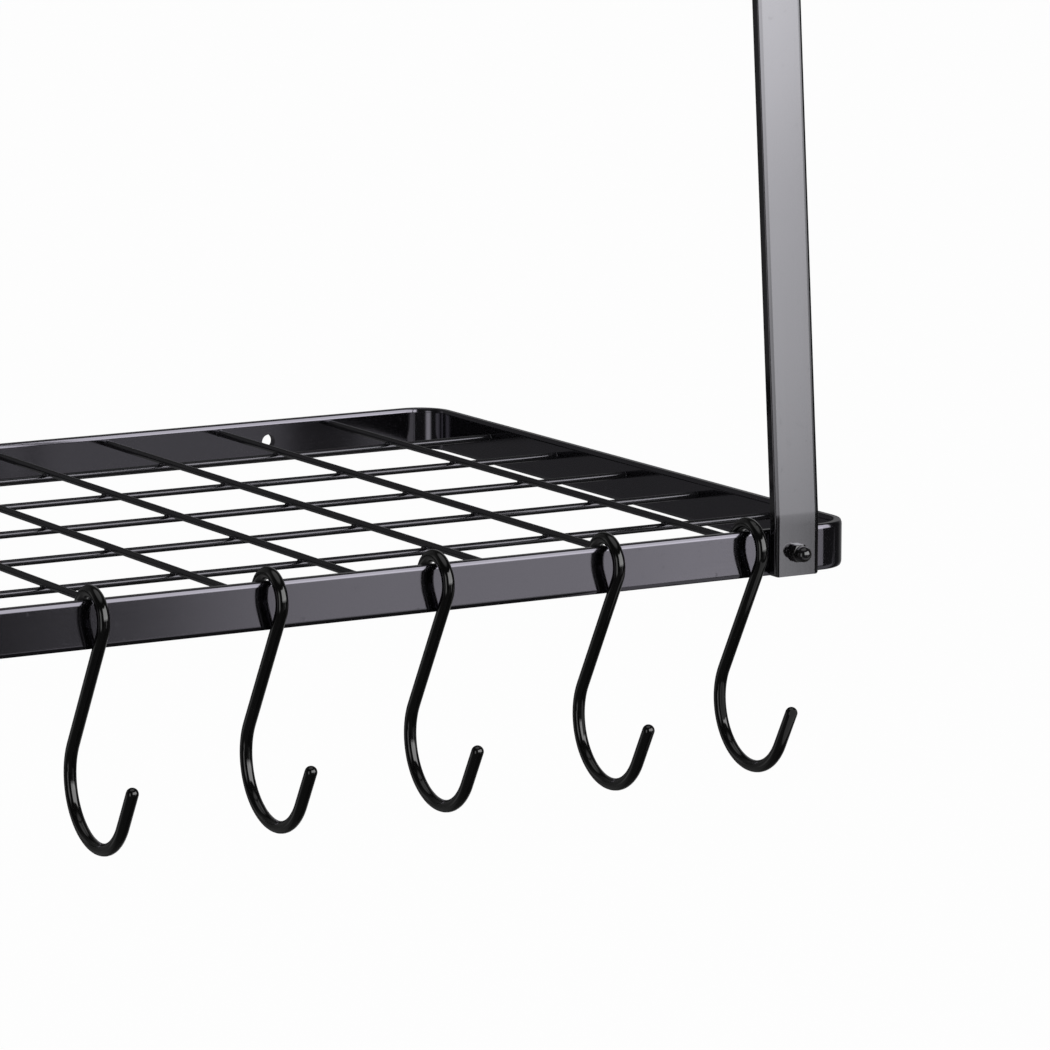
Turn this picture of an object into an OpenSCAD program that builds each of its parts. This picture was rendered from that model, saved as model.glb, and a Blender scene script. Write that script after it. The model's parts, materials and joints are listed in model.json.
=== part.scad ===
// Wall-mounted pot rack: a flat-bar shelf rim with a welded wire grid, two straps that tie its
// front rail back to the wall, and S-hooks that swing on the front rail.
// X runs along the wall, the wall is the plane Y = 0 with the rack on its -Y side, and Z is up.
// The origin is midway between the two wall-screw holes of the back rail.

/* [Shelf rim] */
// Width of the shelf over its ends
shelf_w = 904; // [760:1:1060]
// Depth of the shelf from the wall to the outer face of the front rail
shelf_d = 356; // [280:1:430]
// Height of the flat bar that is bent into the rim
bar_h = 19; // [16:1:26]
// Thickness of that flat bar
bar_t = 4; // [3:0.5:5]
// Rounding along the long edges of the flat bar
bar_edge_r = 0.6; // [0.2:0.1:1.2]
// Outside radius of the bent corners
corner_r = 17; // [10:1:30]

/* [Wire grid] */
// Diameter of the grid wire
wire_d = 3; // [2:0.5:4]
// Number of long wires, which run along the wall
long_count = 5; // [3:1:7]
// Number of cells along the shelf, one more than its cross wires
cell_count = 16; // [12:1:18]
// Height of the rim that stands above the top of the grid
rim_lip = 2.1; // [0.5:0.1:5]

/* [Straps] */
// Width of the strap
strap_w = 21; // [14:1:26]
// Thickness of the strap
strap_t = 5; // [3:0.5:6]
// Corner rounding of the strap's two cut ends
strap_end_r = 1.5; // [0.5:0.5:4]
// Straight stretch of rail between a corner bend and the strap
strap_inset = 5; // [1:1:60]
// How far the upright part of the foot stands above the rim
foot_rise = 2; // [1:1:20]
// Lean of the strap towards the wall above its foot, in degrees
strap_lean = 4.5; // [1:0.5:12]
// Radius of the slight bend above the foot
foot_bend_r = 60; // [20:5:120]
// Height above the rim at which the strap starts to sweep back to the wall
strap_rise = 225; // [160:5:320]
// Radius of that sweep
sweep_r = 150; // [80:5:180]
// Radius of the bend from the top run into the wall tab
tab_bend_r = 8; // [6:1:20]
// Length of the flat wall tab above its bend
tab_h = 26; // [18:1:50]
// Distance from the tab's top end to the centre of its screw hole
tab_hole_drop = 12; // [8:1:14]

/* [Fasteners] */
// Diameter of the bolt that clamps each strap to the front rail
bolt_d = 4; // [3:0.5:5]
// Diameter of the bolt's button head
bolt_head_d = 7.5; // [6.5:0.5:10]
// Height of the bolt's button head
bolt_head_h = 2.25; // [1.75:0.25:3]
// Width across flats of the bolt's hexagon socket
socket_af = 2.5; // [1.5:0.5:3.5]
// Width across flats of the cap nut
nut_af = 7; // [7:0.5:9]
// Height of the cap nut's hexagon
nut_hex_h = 3; // [2:0.5:5]
// Diameter of the cap nut's dome
nut_dome_d = 6.5; // [5.5:0.25:6.75]
// Height of the cap nut over its dome
nut_h = 8; // [7:0.5:11]
// Depth of thread that the bolt takes in the cap nut
bolt_grip = 4; // [3:0.5:5]
// Gap all round a bolt in the hole that it passes through
bolt_clear = 0.25; // [0.1:0.05:0.5]
// Gap all round a bolt in the thread of its cap nut
thread_clear = 0.05; // [0.02:0.01:0.1]
// Diameter of the wall-screw holes
screw_hole_d = 6.5; // [4:0.5:8]
// Distance from each end of the shelf to a wall-screw hole of the back rail
screw_hole_inset = 88; // [50:1:200]

/* [Hooks] */
// Diameter of the hook rod
hook_d = 5; // [3:0.5:6]
// Radius of the small upper loop at the rod's centre line
loop_r = 10.5; // [9:0.5:14]
// Radius of the large lower loop at the rod's centre line
bowl_r = 24.5; // [16:0.5:32]
// Length of the straight shank between the loops
shank_len = 54; // [40:1:80]
// Length of the straight end behind the rail
tail_len = 6; // [2:1:12]
// Length of the straight tip of the lower loop
tip_len = 17; // [5:1:30]
// Gap between a hanging hook and the rail's edges
seat_gap = 0.3; // [0.1:0.1:0.5]
// Least gap beside a hook and the nearest cross wire
wire_gap = 0.75; // [0.4:0.05:3]

/* [Hidden] */
$fn = 64;
eps = 0.01;
// Angle between the points of a bent strap's outline, in degrees
bend_step = 3;

// Where each hook hangs, as a share of the shelf width from its left end, spread unevenly by hand
hook_places = [
    0.0575, 0.140, 0.219, 0.299, 0.3825, 0.458,
    0.5375, 0.6175, 0.7015, 0.7825, 0.8685, 0.9425
];
hook_count = len(hook_places);
cross_count = cell_count - 1;

// The rim stands with its middle height at the level of the wall screws
rim_top = bar_h / 2;
rim_bottom = -bar_h / 2;
front_y = -shelf_d;
half_w = shelf_w / 2;
inner_w = shelf_w - 2 * bar_t;
inner_d = shelf_d - 2 * bar_t;
mid_y = -shelf_d / 2;

// Cross wires lie on the long wires, and both butt against the rim
cross_z = rim_top - rim_lip - wire_d / 2;
long_z = cross_z - wire_d;
cell_w = shelf_w / cell_count;
cell_d = shelf_d / (long_count + 1);

// Straps stand on the outer face of the front rail, just inside the corner bends
strap_x = half_w - corner_r - strap_inset - strap_w / 2;
strap_y = front_y - strap_t / 2;
foot_top = rim_top + foot_rise;
lean_start = [
    strap_y + foot_bend_r * (1 - cos(strap_lean)),
    foot_top + foot_bend_r * sin(strap_lean)
];
sweep_z = rim_top + strap_rise;
lean_len = (sweep_z - lean_start[1]) / cos(strap_lean);
sweep_start = lean_start + lean_len * [sin(strap_lean), cos(strap_lean)];
sweep_centre = sweep_start + sweep_r * [cos(strap_lean), -sin(strap_lean)];
run_z = sweep_centre[1] + sweep_r;
tab_y = -strap_t / 2;
run_end = tab_y - tab_bend_r;
tab_bottom = run_z + tab_bend_r;
tab_top = tab_bottom + tab_h;
tab_hole_z = tab_top - tab_hole_drop;

// The bolt passes from inside the rim through rail and strap into the cap nut
bolt_len = bar_t + strap_t + bolt_grip;
thread_end_gap = 1;
nut_bore_h = bolt_grip + thread_end_gap;
nut_chamfer = 0.5;
socket_share = 0.6;
socket_depth = bolt_head_h * socket_share;
head_rim_h = bolt_head_h / 4;
screw_hole_x = half_w - screw_hole_inset;

// The upper loop rests on the two top edges of the front rail, and turns about its own centre
loop_inside = loop_r - hook_d / 2;
loop_y = front_y + bar_t / 2;
loop_z = rim_top - sqrt(pow(loop_inside, 2) - pow(bar_t / 2, 2)) + seat_gap;

// Outline of a hook with its shank upright and the centre of the upper loop as origin:
// each entry below is a length of rod and its centre of mass
bowl_x = -loop_r - bowl_r;
tip_x = bowl_x - bowl_r;
rod_masses = [
    [tail_len, [loop_r, -tail_len / 2]],
    [PI * loop_r, [0, 2 * loop_r / PI]],
    [shank_len, [-loop_r, -shank_len / 2]],
    [PI * bowl_r, [bowl_x, -shank_len - 2 * bowl_r / PI]],
    [tip_len, [tip_x, tip_len / 2 - shank_len]]
];

// Sum of the moments of the lengths of rod from entry i on
function rod_moment(i = 0) =
    i == len(rod_masses)
        ? [0, 0]
        : rod_masses[i][0] * rod_masses[i][1] + rod_moment(i + 1);

// A free hook hangs with its centre of mass below the centre of the upper loop,
// unless its shank meets the lower front edge of the rail first
free_tilt = -90 - atan2(rod_moment()[1], rod_moment()[0]);
edge_reach = norm([bar_t / 2, loop_z - rim_bottom]);
edge_turn = atan2(bar_t / 2, loop_z - rim_bottom);
edge_share = (loop_inside - seat_gap) / edge_reach;
rest_tilt = edge_share < 1 ? asin(edge_share) - edge_turn : free_tilt;
hook_tilt = min(free_tilt, rest_tilt);

// Room that a hook takes beside a cross wire, counted between centre lines
beside_wire = (wire_d + hook_d) / 2 + wire_gap;

// Place of hook i along the rail, moved just clear of the cross wires of its cell
function hook_x(i) =
    let (wanted = hook_places[i] * shelf_w)
    let (cell_start = floor(wanted / cell_w) * cell_w)
    let (cell_end = cell_start + cell_w)
    min(max(wanted, cell_start + beside_wire), cell_end - beside_wire) - half_w;

// Names of numbered nodes, with two digits
function two_digits(i) = str(i < 10 ? "0" : "", i);
function long_name(i) = str("long_wire_", i);
function cross_name(i) = str("cross_wire_", two_digits(i));
function hook_name(i) = str("hook_", two_digits(i));

rim_colour = [0.34, 0.33, 0.36];
wire_colour = [0.20, 0.20, 0.21];
hook_colour = [0.05, 0.05, 0.05];

// Cross section of flat bar, w wide along x and t thick along y, with rounded corners
module bar_section(w, t, r) {
    square([w - 2 * r, t], center = true);
    square([w, t - 2 * r], center = true);
    for (sx = [-1, 1], sy = [-1, 1])
        translate([sx * (w / 2 - r), sy * (t / 2 - r)])
            circle(r);
}

// Turns the drawing plane into the Y-Z plane: x becomes Y, y becomes Z and z becomes X
module side_plane() {
    rotate([90, 0, 90])
        children();
}

// Points of an arc in the drawing plane, round centre c from one angle to another
function arc(c, r, from, to) =
    let (steps = ceil(abs(to - from) / bend_step))
    [for (k = [0:steps]) let (a = from + (to - from) * k / steps) c + r * [cos(a), sin(a)]];

// Round hole along Y, centred on p
module hole_along_y(p, d, depth) {
    translate(p)
        rotate([90, 0, 0])
            cylinder(d = d, h = depth, center = true);
}

// One straight side of the rim along X, centred on the origin
module rim_side(length) {
    side_plane()
        linear_extrude(length, center = true)
            bar_section(bar_t, bar_h, bar_edge_r);
}

// The rim: one flat bar on edge, bent into a rounded rectangle, with its screw and bolt holes
module shelf_rim() {
    color(rim_colour)
        difference() {
            union() {
                for (side = [-1, 1]) {
                    translate([0, mid_y + side * (shelf_d - bar_t) / 2, 0])
                        rim_side(shelf_w - 2 * corner_r);
                    translate([side * (shelf_w - bar_t) / 2, mid_y, 0])
                        rotate([0, 0, 90])
                            rim_side(shelf_d - 2 * corner_r);
                }
                for (quarter = [0:3])
                    rim_corner(quarter);
            }
            for (side = [-1, 1]) {
                hole_along_y([side * screw_hole_x, -bar_t / 2, 0], screw_hole_d, bar_t + 2 * eps);
                hole_along_y(
                    [side * strap_x, front_y + bar_t / 2, 0],
                    bolt_d + 2 * bolt_clear,
                    bar_t + 2 * eps
                );
            }
        }
}

// One bent corner of the rim, counted anticlockwise from the back right
module rim_corner(quarter) {
    side_x = quarter == 0 || quarter == 3 ? 1 : -1;
    side_y = quarter < 2 ? 1 : -1;
    translate([side_x * (half_w - corner_r), mid_y + side_y * (shelf_d / 2 - corner_r), 0])
        rotate([0, 0, quarter * 90])
            rotate_extrude(angle = 90)
                translate([corner_r - bar_t / 2, 0])
                    bar_section(bar_t, bar_h, bar_edge_r);
}

// Long wire i, counted from the front
module long_wire(i) {
    color(wire_colour)
        translate([0, front_y + i * cell_d, long_z])
            rotate([0, 90, 0])
                cylinder(d = wire_d, h = inner_w, center = true);
}

// Cross wire i, counted from the left
module cross_wire(i) {
    color(wire_colour)
        translate([i * cell_w - half_w, mid_y, cross_z])
            rotate([90, 0, 0])
                cylinder(d = wire_d, h = inner_d, center = true);
}

// A strap, from its foot on the front rail to its tab on the wall, centred on X = 0
module strap() {
    color(rim_colour)
        difference() {
            side_plane()
                linear_extrude(strap_w, center = true)
                    strap_profile();
            hole_along_y([0, strap_y, 0], bolt_d + 2 * bolt_clear, strap_t + 2 * eps);
            hole_along_y([0, tab_y, tab_hole_z], screw_hole_d, strap_t + 2 * eps);
            for (side = [-1, 1]) {
                corner_cut([side * strap_w / 2, strap_y, rim_bottom], side, 1);
                corner_cut([side * strap_w / 2, tab_y, tab_top], side, -1);
            }
        }
}

// Side view of the strap: up its front side from the foot to the tab, and down its wall side
module strap_profile() {
    half_t = strap_t / 2;
    lean_angle = 180 - strap_lean;
    foot_centre = [strap_y + foot_bend_r, foot_top];
    tab_centre = [run_end, run_z + tab_bend_r];
    polygon(concat(
        [[strap_y - half_t, rim_bottom]],
        arc(foot_centre, foot_bend_r + half_t, 180, lean_angle),
        arc(sweep_centre, sweep_r + half_t, lean_angle, 90),
        arc(tab_centre, tab_bend_r - half_t, 270, 360),
        [[tab_y - half_t, tab_top], [tab_y + half_t, tab_top]],
        arc(tab_centre, tab_bend_r + half_t, 360, 270),
        arc(sweep_centre, sweep_r - half_t, 90, lean_angle),
        arc(foot_centre, foot_bend_r - half_t, lean_angle, 180),
        [[strap_y + half_t, rim_bottom]]
    ));
}

// What to take off a strap's cut end to round its corner at p, the right one for a side of 1 and
// the left one for -1, with the strap above p for an up of 1 and below p for -1
module corner_cut(p, side, up) {
    centre = [p[0] - side * strap_end_r, p[1], p[2] + up * strap_end_r];
    difference() {
        translate(p)
            cube([2 * strap_end_r, strap_t + 2 * eps, 2 * strap_end_r], center = true);
        hole_along_y(centre, 2 * strap_end_r, strap_t + 4 * eps);
    }
}

// Bolt with a button head and a hexagon socket, its head seated on the X-Y plane, thread along -Z
module button_bolt() {
    crown_r = bolt_head_d / 2;
    difference() {
        rotate_extrude()
            intersection() {
                translate([0, -bolt_len])
                    square([crown_r, bolt_len + bolt_head_h]);
                union() {
                    translate([0, -bolt_len])
                        square([bolt_d / 2, bolt_len + bolt_head_h / 2]);
                    crown_section(crown_r, bolt_head_h, head_rim_h);
                }
            }
        translate([0, 0, bolt_head_h - socket_depth])
            cylinder(d = socket_af / cos(30), h = socket_depth + eps, $fn = 6);
    }
}

// Half section of a low crown of radius r and height h on a short upright rim
module crown_section(r, h, rim) {
    rise = h - rim;
    ball_r = (r * r + rise * rise) / (2 * rise);
    square([r, rim]);
    intersection() {
        translate([0, rim])
            square([r, rise]);
        translate([0, h - ball_r])
            circle(ball_r);
    }
}

// Cap nut with its face on the X-Y plane, dome along +Z
module cap_nut() {
    dome_r = nut_dome_d / 2;
    difference() {
        union() {
            intersection() {
                cylinder(d = nut_af / cos(30), h = nut_hex_h, $fn = 6);
                nut_chamfer_body();
            }
            cylinder(r = dome_r, h = nut_h - dome_r);
            translate([0, 0, nut_h - dome_r])
                sphere(dome_r);
        }
        translate([0, 0, -eps])
            cylinder(d = bolt_d + 2 * thread_clear, h = nut_bore_h + eps);
    }
}

// Round body that takes the sharp corners off the nut's hexagon
module nut_chamfer_body() {
    corner = nut_af / cos(30) / 2;
    foot_cut = nut_chamfer / 2;
    cylinder(r1 = corner - foot_cut, r2 = corner, h = foot_cut);
    translate([0, 0, foot_cut])
        cylinder(r = corner, h = nut_hex_h - foot_cut - nut_chamfer);
    translate([0, 0, nut_hex_h - nut_chamfer])
        cylinder(r1 = corner, r2 = corner - 2 * nut_chamfer, h = nut_chamfer);
}

// Both bolts, pushed outwards through the front rail and the straps
module strap_bolts() {
    color(hook_colour)
        for (side = [-1, 1])
            translate([side * strap_x, front_y + bar_t, 0])
                rotate([-90, 0, 0])
                    button_bolt();
}

// Both cap nuts, on the outer faces of the straps
module cap_nuts() {
    color(hook_colour)
        for (side = [-1, 1])
            translate([side * strap_x, front_y - strap_t, 0])
                rotate([90, 0, 0])
                    cap_nut();
}

// Hook i, counted from the left, hanging still on the front rail
module hook(i) {
    color(hook_colour)
        translate([hook_x(i - 1), loop_y, loop_z])
            side_plane()
                rotate([0, 0, hook_tilt])
                    hook_rod();
}

// The bent rod of a hook, with its shank upright and the upper loop round the origin
module hook_rod() {
    rod_run([loop_r, -tail_len], tail_len);
    rod_bend([0, 0], loop_r, 0);
    rod_run([-loop_r, -shank_len], shank_len);
    rod_bend([bowl_x, -shank_len], bowl_r, 180);
    rod_run([tip_x, -shank_len], tip_len);
    rod_end([loop_r, -tail_len], -1);
    rod_end([tip_x, tip_len - shank_len], 1);
}

// Straight stretch of hook rod, upwards from p
module rod_run(p, length) {
    translate([p[0], p[1], 0])
        rotate([-90, 0, 0])
            cylinder(d = hook_d, h = length);
}

// Half a turn of hook rod round centre c, anticlockwise from an angle in degrees
module rod_bend(c, r, from) {
    translate([c[0], c[1], 0])
        rotate([0, 0, from])
            rotate_extrude(angle = 180)
                translate([r, 0])
                    circle(d = hook_d);
}

// Half-round end of the hook rod at p, pointing up for 1 and down for -1
module rod_end(p, up) {
    translate([p[0], p[1], 0])
        rotate([-90 * up, 0, 0])
            rotate_extrude()
                intersection() {
                    circle(d = hook_d);
                    square(hook_d / 2);
                }
}

shelf_rim();
for (i = [1:long_count]) long_wire(i);
for (i = [1:cross_count]) cross_wire(i);
translate([-strap_x, 0, 0]) strap();  // strap_left
translate([strap_x, 0, 0]) strap();  // strap_right
strap_bolts();
cap_nuts();
for (i = [1:hook_count]) hook(i);
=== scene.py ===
"""Visible model of a wall-mounted pot rack, fitted round its solids, in metres in their frame."""

import json
import math

import bmesh
import bpy
from bpy.props import FloatProperty, FloatVectorProperty, IntProperty, PointerProperty
from mathutils import Euler, Matrix, Vector


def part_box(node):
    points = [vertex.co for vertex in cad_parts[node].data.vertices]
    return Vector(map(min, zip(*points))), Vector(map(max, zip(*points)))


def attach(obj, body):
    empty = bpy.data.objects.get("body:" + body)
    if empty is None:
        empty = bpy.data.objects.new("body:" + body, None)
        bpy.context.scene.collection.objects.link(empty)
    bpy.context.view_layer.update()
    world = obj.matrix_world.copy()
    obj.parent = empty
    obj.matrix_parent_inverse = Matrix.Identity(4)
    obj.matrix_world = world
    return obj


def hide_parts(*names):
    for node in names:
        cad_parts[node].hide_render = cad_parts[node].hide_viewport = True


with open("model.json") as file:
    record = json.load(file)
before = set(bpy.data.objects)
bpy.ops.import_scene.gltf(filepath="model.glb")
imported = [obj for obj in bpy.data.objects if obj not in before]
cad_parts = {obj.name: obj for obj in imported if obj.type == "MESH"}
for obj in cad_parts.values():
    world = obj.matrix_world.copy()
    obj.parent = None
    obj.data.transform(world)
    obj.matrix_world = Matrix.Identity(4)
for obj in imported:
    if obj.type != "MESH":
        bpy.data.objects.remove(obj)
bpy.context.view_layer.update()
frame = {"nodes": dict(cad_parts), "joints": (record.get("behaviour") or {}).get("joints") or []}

bl_info = {
    "name": "Wall-mounted pot rack",
    "version": (1, 0, 0),
    "blender": (4, 5, 0),
    "location": "3D View > Sidebar > Pot Rack",
    "description": "Rebuilds the rim, straps, wire grid, hooks and fasteners of a pot rack",
    "category": "Object",
}

LONG_WIRES = sorted(n for n in frame["nodes"] if n.startswith("long_wire_"))
CROSS_WIRES = sorted(n for n in frame["nodes"] if n.startswith("cross_wire_"))
HOOKS = sorted(n for n in frame["nodes"] if n.startswith("hook_"))
PIVOTS = {j["child"]: Vector(j["pos_m"]) for j in frame["joints"]}


def middle(node):
    """Centre of a CAD node's box."""
    low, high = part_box(node)
    return (low + high) / 2


def extent(node):
    """Size of a CAD node's box along each axis."""
    low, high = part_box(node)
    return high - low


RIM_LOW, RIM_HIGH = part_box("shelf_rim")
STRAP_LOW, STRAP_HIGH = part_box("strap_right")


# Sizes and colours that a user would change


def length(name, description, default, top=1.0):
    """A size in metres."""
    return FloatProperty(
        name=name, description=description, default=default, min=0.0, max=top,
        precision=5, unit="LENGTH",
    )


def colour(name, description, default):
    """A linear colour."""
    return FloatVectorProperty(
        name=name, description=description, default=default, size=3, min=0.0, max=1.0,
        subtype="COLOR",
    )


class BarSizes(bpy.types.PropertyGroup):
    thickness: length("Bar thickness", "Thickness of the flat bar of the rim", 0.004)
    edge_radius: length("Edge rounding", "Rounding along the bar's long edges", 0.0008)
    shoulder_radius: length("Shoulder", "Radius of the soft shoulder before the edge", 0.004)
    shoulder_turn: FloatProperty(
        name="Shoulder turn", description="Turn of the face over its shoulder",
        default=math.radians(25.0), subtype="ANGLE",
    )
    corner_radius: length("Corner radius", "Outside radius of the rim's corners", 0.017)
    screw_hole: length("Screw hole", "Diameter of the wall-screw holes", 0.0065)
    bolt_hole: length("Bolt hole", "Diameter of the holes under the cap nuts", 0.0045)
    screw_spacing: length("Screw spacing", "Distance between the back rail's holes", 0.728)
    tint: colour("Rim graphite", "Colour of the rim", (0.137, 0.1315, 0.1515))


class StrapSizes(bpy.types.PropertyGroup):
    thickness: length("Strap thickness", "Thickness of the strap", 0.005)
    foot_height: length("Foot height", "Top of the upright foot above the rim", 0.002)
    foot_bend: length("Foot bend", "Radius of the slight bend above the foot", 0.060)
    sweep_radius: length("Sweep", "Radius of the sweep back to the wall", 0.150)
    tab_bend: length("Tab bend", "Radius of the bend into the wall tab", 0.008)
    tab_length: length("Tab length", "Flat length of the wall tab", 0.026)
    tab_hole_drop: length("Tab hole", "From the tab's top to its screw hole", 0.012)
    end_corner: length("End corners", "Rounding of the strap's cut ends", 0.0015)
    lean: FloatProperty(
        name="Lean", description="Lean of the strap towards the wall",
        default=math.radians(4.5), subtype="ANGLE",
    )
    tint: colour("Strap graphite", "Colour of the straps", (0.137, 0.1355, 0.1445))


class WireSizes(bpy.types.PropertyGroup):
    diameter: length("Wire diameter", "Diameter of the grid wire", 0.003)
    sides: IntProperty(name="Sides", description="Faces round a wire", default=20, min=8)
    bead: length("Weld bead", "Radius of the weld where two wires cross", 0.0014)
    collar: length("Weld collar", "Radius of the weld where a wire meets the rim", 0.0016)
    tint: colour("Wire grey", "Colour of the wires", (0.085, 0.083, 0.092))


class HookSizes(bpy.types.PropertyGroup):
    diameter: length("Rod diameter", "Diameter of the hook's rod", 0.005)
    loop_radius: length("Loop radius", "Centre-line radius of the upper loop", 0.0105)
    bowl_radius: length("Bowl radius", "Centre-line radius of the lower loop", 0.0245)
    shank: length("Shank", "Straight length between the loops", 0.054)
    tail: length("Tail", "Straight end behind the rail", 0.006)
    tip: length("Tip", "Straight end of the lower loop", 0.017)
    tilt: FloatProperty(
        name="Tilt", description="Turn of a hook that hangs freely",
        default=math.radians(29.6802), subtype="ANGLE",
    )
    sides: IntProperty(name="Sides", description="Faces round the rod", default=24, min=8)
    tint: colour("Hook black", "Colour of the hooks", (0.0015, 0.0015, 0.0015))


class FastenerSizes(bpy.types.PropertyGroup):
    nut_flats: length("Nut flats", "Width of the cap nut across its flats", 0.007)
    hexagon_height: length("Hexagon height", "Height of the nut's hexagon", 0.003)
    nut_chamfer: length("Nut chamfer", "Height of the cut on the hexagon's corners", 0.0005)
    dome: length("Dome", "Diameter of the nut's dome", 0.0065)
    nut_height: length("Nut height", "Height of the cap nut with its dome", 0.008)
    head: length("Bolt head", "Diameter of the button head", 0.0075)
    head_height: length("Head height", "Height of the button head", 0.00225)
    socket_flats: length("Socket", "Width of the hexagon socket across its flats", 0.0025)
    socket_depth: length("Socket depth", "Depth of the hexagon socket", 0.00135)
    shank: length("Bolt", "Diameter of the bolt", 0.004)
    tint: colour("Fastener black", "Colour of the bolts and cap nuts", (0.005, 0.005, 0.005))


class StudioSettings(bpy.types.PropertyGroup):
    camera_place: FloatVectorProperty(
        name="Camera place", description="Where the camera stands",
        default=(-0.80351, -2.25339, 0.40980), size=3, subtype="XYZ",
    )
    azimuth: FloatProperty(
        name="Azimuth", description="Turn of the view to the right of straight on",
        default=0.52475, subtype="ANGLE",
    )
    elevation: FloatProperty(
        name="Elevation", description="How far the camera looks down",
        default=0.17524, subtype="ANGLE",
    )
    lens: FloatProperty(
        name="Lens", description="Focal length on a 36 mm sensor, in millimetres",
        default=193.53, min=20.0, unit="CAMERA",
    )
    floor_depth: length("Floor depth", "Distance of the floor below the rack", 1.6, 5.0)
    tent_radius: length("Tent radius", "Radius of the reflection tent", 12.0, 50.0)


# Node trees, written as expressions


class Plug:
    """An output socket, on which arithmetic adds the Math nodes that work it out."""

    def __init__(self, bench, socket):
        self.bench = bench
        self.socket = socket

    def math(self, operation, *others):
        return self.bench.math(operation, self, *others)

    def __add__(self, other):
        return self.math("ADD", other)

    def __sub__(self, other):
        return self.math("SUBTRACT", other)

    def __mul__(self, other):
        return self.math("MULTIPLY", other)

    def __truediv__(self, other):
        return self.math("DIVIDE", other)

    def __radd__(self, other):
        return self.bench.math("ADD", other, self)

    def __rsub__(self, other):
        return self.bench.math("SUBTRACT", other, self)

    def __rmul__(self, other):
        return self.bench.math("MULTIPLY", other, self)


class Bench:
    """Adds nodes to one tree. A socket takes a number, a vector, a datablock or a Plug."""

    def __init__(self, tree):
        self.tree = tree

    def node(self, kind, settings=None, values=None, stops=None):
        made = self.tree.nodes.new(kind)
        for name, value in (settings or {}).items():
            setattr(made, name, value)
        for element, (place, shade) in zip(made.color_ramp.elements if stops else (), stops or ()):
            element.position = place
            element.color = (shade, shade, shade, 1.0)
        for key, value in (values or {}).items():
            if isinstance(value, Plug):
                self.tree.links.new(value.socket, made.inputs[key])
            else:
                made.inputs[key].default_value = value
        return made

    def plug(self, kind, output=0, **details):
        """The named output of a new node."""
        return Plug(self, self.node(kind, **details).outputs[output])

    def math(self, operation, *terms):
        values = dict(enumerate(terms))
        return self.plug("ShaderNodeMath", settings={"operation": operation}, values=values)


def mix_colours(bench, share, first, second):
    """A Mix node on two colours, whose colour sockets stand behind those of its other types."""
    node = bench.node("ShaderNodeMix", settings={"data_type": "RGBA"}, values={0: share})
    for socket, value in ((node.inputs[6], first), (node.inputs[7], second)):
        if isinstance(value, Plug):
            bench.tree.links.new(value.socket, socket)
        else:
            socket.default_value = (*value, 1.0)
    return Plug(bench, node.outputs[2])


# Finishes


NOISE_ROUGHNESS = 0.55
# Small spots on a coat: their scale against the peel's, the noise levels between which they
# fade in, how much lighter their colour is, and how much rougher they are
SPOT_SCALE = 0.23
SPOT_LEVELS = ((0.66, 0.0), (0.74, 1.0))
SPOT_LIGHT = 1.9
SPOT_ROUGH = 0.08


def new_finish(name):
    """A material with an empty tree, and its bench."""
    finish = bpy.data.materials.new(name)
    finish.use_nodes = True
    finish.node_tree.nodes.clear()
    return finish, Bench(finish.node_tree)


def noise(bench, scale, detail=2.0, stretch=(1.0, 1.0, 1.0), place=(0.0, 0.0, 0.0)):
    """Noise on Object coordinates, stretched by a Mapping node."""
    coordinates = bench.plug("ShaderNodeTexCoord", "Object")
    mapped = bench.plug(
        "ShaderNodeMapping", values={"Vector": coordinates, "Location": place, "Scale": stretch}
    )
    return bench.plug(
        "ShaderNodeTexNoise", "Fac",
        values={"Vector": mapped, "Scale": scale, "Detail": detail, "Roughness": NOISE_ROUGHNESS},
    )


def shade(tint, factor):
    """A colour made lighter or darker."""
    return tuple(min(1.0, part * factor) for part in tint)


def coated_metal(name, tint, look):
    """Painted metal with cloudy tone, drawn or rolled grain, fine orange peel and small scuffs."""
    finish, bench = new_finish(name)
    cloud = noise(bench, look["cloud"], 3.0)
    grain = noise(bench, look["grain"], 4.0, look["stretch"], (0.3, 0.1, 0.7))
    peel = noise(bench, look["peel"], 2.0, place=(1.7, 0.4, 0.2))
    spots = noise(bench, look["peel"] * SPOT_SCALE, 3.0, place=(0.2, 2.1, 0.9))
    specks = bench.plug("ShaderNodeValToRGB", values={0: spots}, stops=SPOT_LEVELS)
    tone = cloud * (1 - look["grain_share"]) + grain * look["grain_share"]
    spread = look["spread"]
    base = mix_colours(bench, tone, shade(tint, 1 - spread), shade(tint, 1 + spread))
    base = mix_colours(bench, specks * look["speck"], base, shade(tint, SPOT_LIGHT))
    rough = look["rough"] + (cloud - 0.5) * look["rough_cloud"] + (grain - 0.5) * look["rough_grain"]
    rough = rough + specks * SPOT_ROUGH
    height = peel + grain * look["grain_height"]
    bump = bench.plug(
        "ShaderNodeBump",
        values={"Height": height, "Strength": look["bump"], "Distance": look["bump_height"]},
    )
    shader = bench.plug(
        "ShaderNodeBsdfPrincipled",
        values={
            "Base Color": base, "Roughness": rough, "Metallic": look["metallic"], "Normal": bump,
            "Coat Weight": look["coat"], "Coat Roughness": look["coat_rough"],
        },
    )
    bench.node("ShaderNodeOutputMaterial", values={"Surface": shader})
    return finish


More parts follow.
